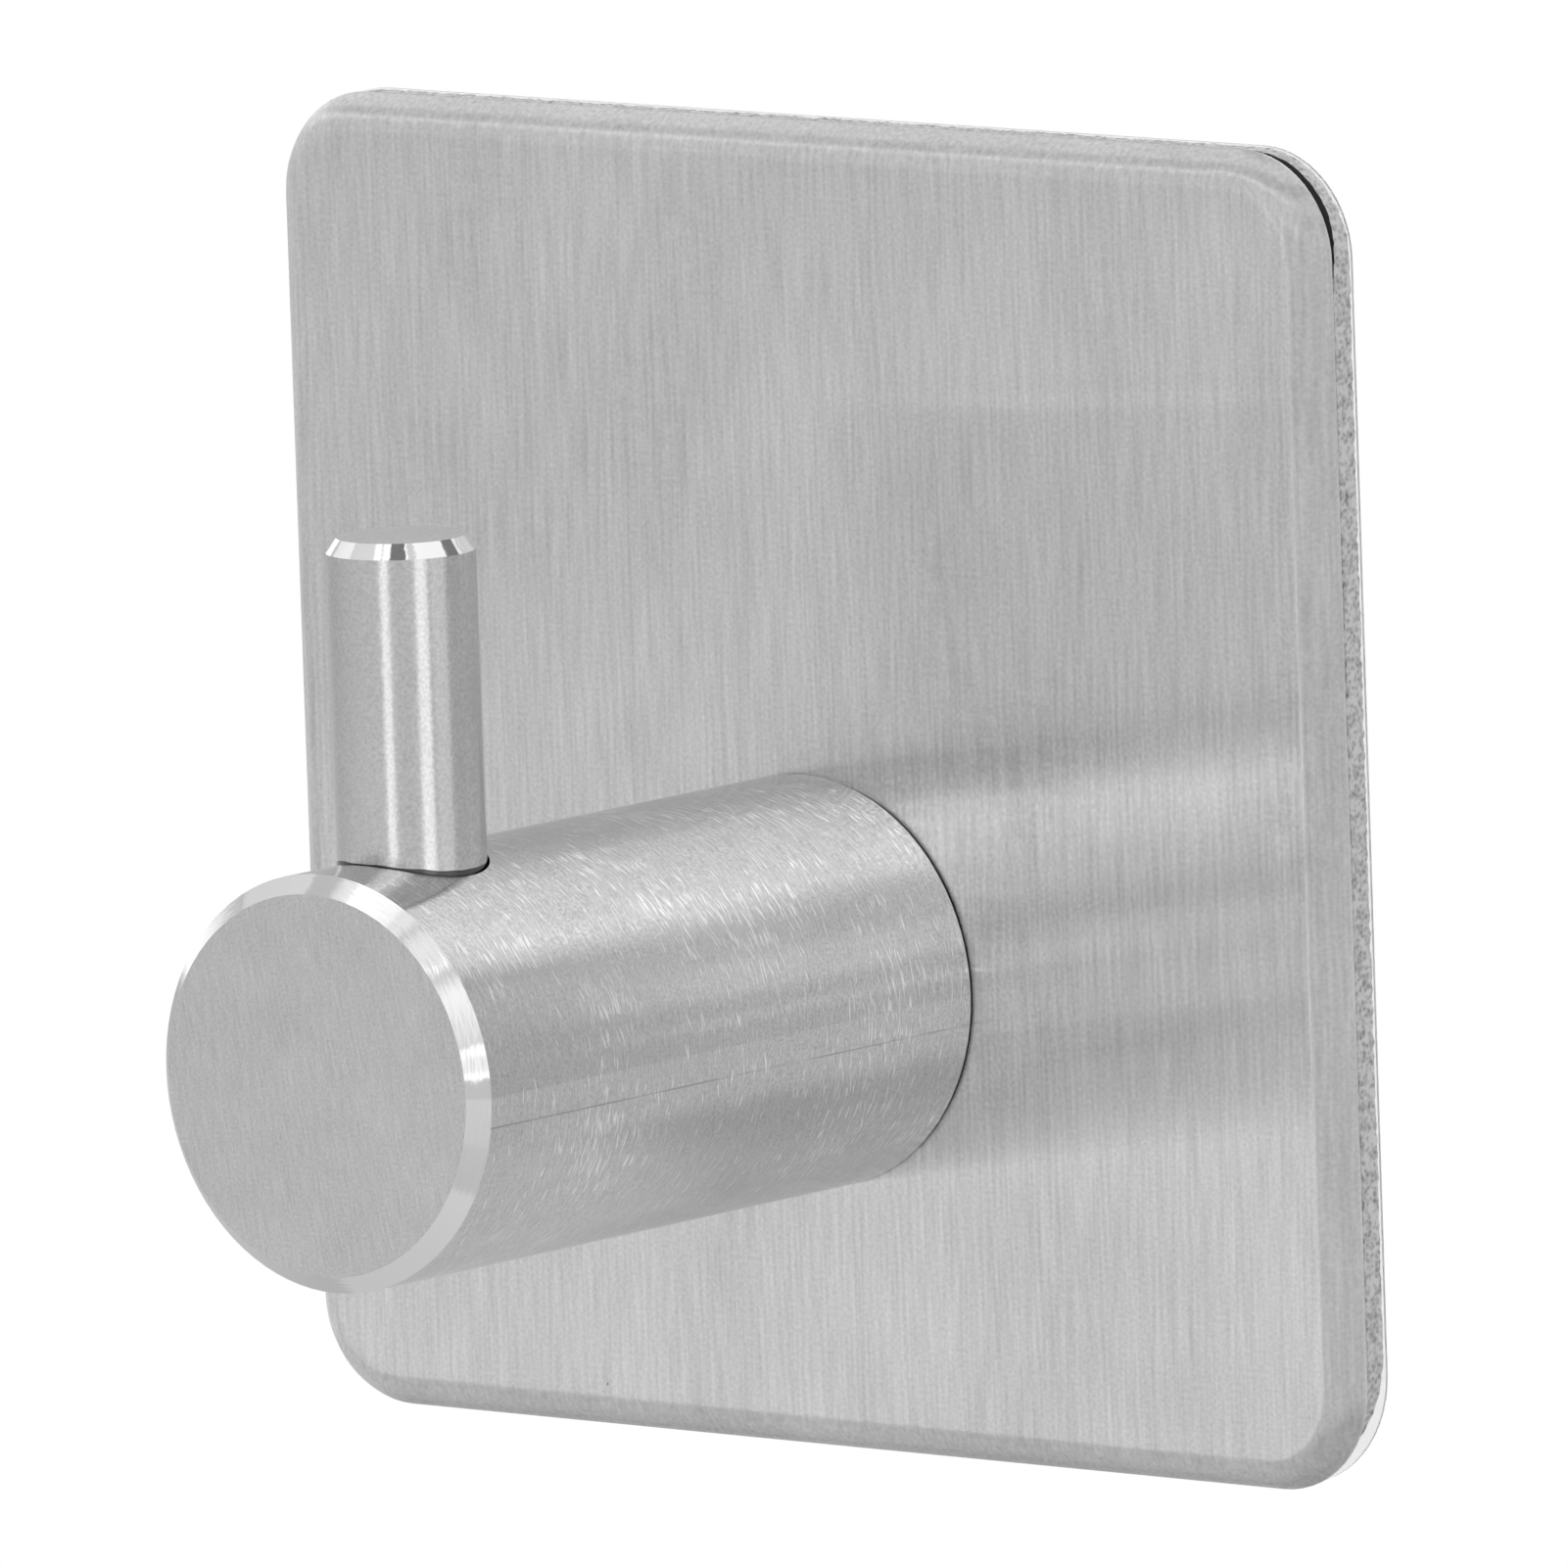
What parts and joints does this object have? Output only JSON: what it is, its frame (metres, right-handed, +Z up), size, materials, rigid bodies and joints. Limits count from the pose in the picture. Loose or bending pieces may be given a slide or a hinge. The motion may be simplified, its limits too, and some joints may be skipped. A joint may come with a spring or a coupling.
{
  "type": "adhesive wall hook",
  "caption": "Square brushed-steel adhesive wall hook: a stamped plate on a foam pad carries a round post with an upright pin, for hanging towels, robes or utensils.",
  "frame": {"origin": "middle of the rear face of the release liner, which is the face that goes to the wall", "axes": "+X to the right as seen from the front, +Y into the wall, +Z up; the hook stands out towards -Y"},
  "size_m": [0.045, 0.028, 0.045],
  "materials": {
    "brushed_plate_steel": "satin",
    "turned_post_steel": "satin",
    "ground_pin_steel": "polished",
    "screw_steel": "satin",
    "grey_foam": "matte",
    "release_film": "satin"
  },
  "bodies": {
    "root": {"back_plate": "brushed_plate_steel", "post": "turned_post_steel", "hook_pin": "ground_pin_steel", "fixing_screw": "screw_steel", "foam_pad": "grey_foam", "release_liner": "release_film"}
  },
  "joints": []
}
